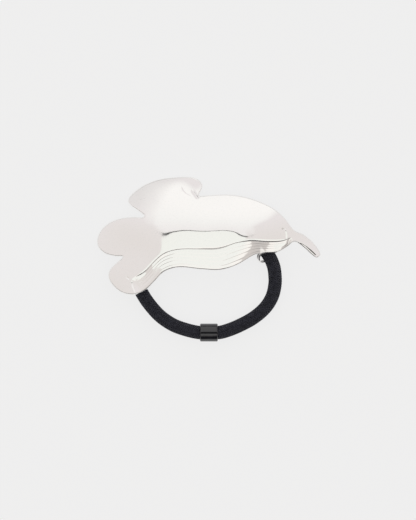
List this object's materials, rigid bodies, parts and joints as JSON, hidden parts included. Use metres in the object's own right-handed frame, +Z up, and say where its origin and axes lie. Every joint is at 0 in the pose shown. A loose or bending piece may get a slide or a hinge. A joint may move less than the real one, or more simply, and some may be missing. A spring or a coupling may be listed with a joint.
{
  "type": "hair tie",
  "caption": "Hair tie with a polished, crowned metal ornament, wire rings soldered behind it and a round braided elastic band whose ends meet in a short sleeve.",
  "frame": {"origin": "under the middle of the whole hair tie, on the surface that it lies on", "axes": "+X along the ornament towards its narrow tail, +Y towards its leaf-shaped flap, +Z up out of its polished face"},
  "size_m": [0.0804, 0.0595, 0.011],
  "materials": {
    "polished_metal": "mirror-polished silver-coloured plate",
    "braided_elastic": "matte braided cover",
    "sleeve": "glossy"
  },
  "bodies": {
    "root": {"ornament": "polished_metal", "elastic_band": "braided_elastic", "sleeve": "sleeve"}
  },
  "joints": []
}
